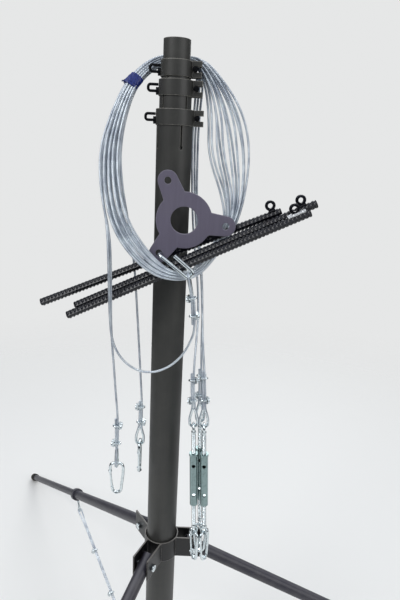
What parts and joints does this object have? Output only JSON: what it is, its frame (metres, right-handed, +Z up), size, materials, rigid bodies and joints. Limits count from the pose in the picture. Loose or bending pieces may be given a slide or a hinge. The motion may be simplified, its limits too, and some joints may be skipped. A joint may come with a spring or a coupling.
{
  "type": "portable telescopic radio mast, retracted on its tripod, with its guy kit hung on it",
  "caption": "Portable telescopic steel mast with clamps, a folding tripod base, and its coiled wire guys, guy plate, stakes and turnbuckles hung on it.",
  "frame": {"origin": "mast axis at the ground, underside of the foot plate", "axes": "+Z up along the mast; +Y away from the side on which the guy plate and stakes hang"},
  "size_m": [1.5985, 1.7837, 1.453],
  "materials": {
    "mast_paint": "satin",
    "leg_paint": "satin",
    "plate_paint": "matte",
    "dark_steel": "satin",
    "black_bar": "matte",
    "zinc": "satin",
    "wire_rope": "satin",
    "blue_tape": "matte",
    "foot_rubber": "matte"
  },
  "bodies": {
    "base": {"section_1": "mast_paint", "foot_plate": "mast_paint", "clamp_1_band": "mast_paint", "clamp_1_swing_bolt": "dark_steel", "clamp_1_eye_screw": "dark_steel", "leg_collar": "leg_paint", "collar_set_bolt": "zinc", "leg_pivot_bolts": "zinc", "leg_1_stay": "wire_rope", "leg_2_stay": "wire_rope", "leg_3_stay": "wire_rope"},
    "second_section": {"section_2": "mast_paint", "clamp_2_band": "mast_paint", "clamp_2_swing_bolt": "dark_steel", "clamp_2_eye_screw": "dark_steel"},
    "third_section": {"section_3": "mast_paint", "clamp_3_band": "mast_paint", "clamp_3_swing_bolt": "dark_steel", "clamp_3_eye_screw": "dark_steel", "guy_coil": "wire_rope", "coil_tape": "blue_tape", "guy_plate": "plate_paint", "plate_hook": "zinc", "stake_1": "black_bar", "stake_2": "black_bar", "stake_3": "black_bar", "rope_1_upper_tail": "wire_rope", "rope_1_lower_tail": "wire_rope", "rope_2_upper_tail": "wire_rope", "rope_2_lower_tail": "wire_rope", "rope_3_upper_tail": "wire_rope", "rope_3_lower_tail": "wire_rope", "rope_clips": "zinc", "thimbles": "zinc", "turnbuckle_screws": "zinc", "turnbuckle_bodies": "zinc", "carabiners": "zinc"},
    "top_section": {"section_4": "mast_paint"},
    "leg_1": {"leg_1_outer_tube": "leg_paint", "leg_1_clamp": "leg_paint", "leg_1_clamp_screw": "zinc"},
    "leg_1_extension": {"leg_1_inner_tube": "leg_paint", "leg_1_foot": "foot_rubber"},
    "leg_2": {"leg_2_outer_tube": "leg_paint", "leg_2_clamp": "leg_paint", "leg_2_clamp_screw": "zinc"},
    "leg_2_extension": {"leg_2_inner_tube": "leg_paint", "leg_2_foot": "foot_rubber"},
    "leg_3": {"leg_3_outer_tube": "leg_paint", "leg_3_clamp": "leg_paint", "leg_3_clamp_screw": "zinc"},
    "leg_3_extension": {"leg_3_inner_tube": "leg_paint", "leg_3_foot": "foot_rubber"}
  },
  "joints": [
    {"name": "second_section_slide", "type": "slide", "parent": "base", "child": "second_section", "axis": [0, 0, 1], "range_m": [0, 1]},
    {"name": "third_section_slide", "type": "slide", "parent": "second_section", "child": "third_section", "axis": [0, 0, 1], "range_m": [0, 1]},
    {"name": "top_section_slide", "type": "slide", "parent": "third_section", "child": "top_section", "axis": [0, 0, 1], "range_m": [0, 1]},
    {"name": "leg_1_fold", "type": "hinge", "parent": "base", "child": "leg_1", "pos_m": [0.06799, 0.00119, 0.482], "axis": [-0.0175, 0.9998, 0], "range_deg": [0, 60], "deforming": ["leg_1_stay"]},
    {"name": "leg_1_extend", "type": "slide", "parent": "leg_1", "child": "leg_1_extension", "axis": [0.8948, 0.0156, -0.4462], "range_m": [-0.38, 0]},
    {"name": "leg_2_fold", "type": "hinge", "parent": "base", "child": "leg_2", "pos_m": [-0.03803, 0.05638, 0.482], "axis": [-0.829, -0.5592, 0], "range_deg": [0, 60], "deforming": ["leg_2_stay"]},
    {"name": "leg_2_extend", "type": "slide", "parent": "leg_2", "child": "leg_2_extension", "axis": [-0.5004, 0.7419, -0.4462], "range_m": [-0.38, 0]},
    {"name": "leg_3_fold", "type": "hinge", "parent": "base", "child": "leg_3", "pos_m": [-0.02766, -0.06212, 0.482], "axis": [0.9135, -0.4067, 0], "range_deg": [0, 60], "deforming": ["leg_3_stay"]},
    {"name": "leg_3_extend", "type": "slide", "parent": "leg_3", "child": "leg_3_extension", "axis": [-0.364, -0.8176, -0.4462], "range_m": [-0.38, 0]}
  ]
}
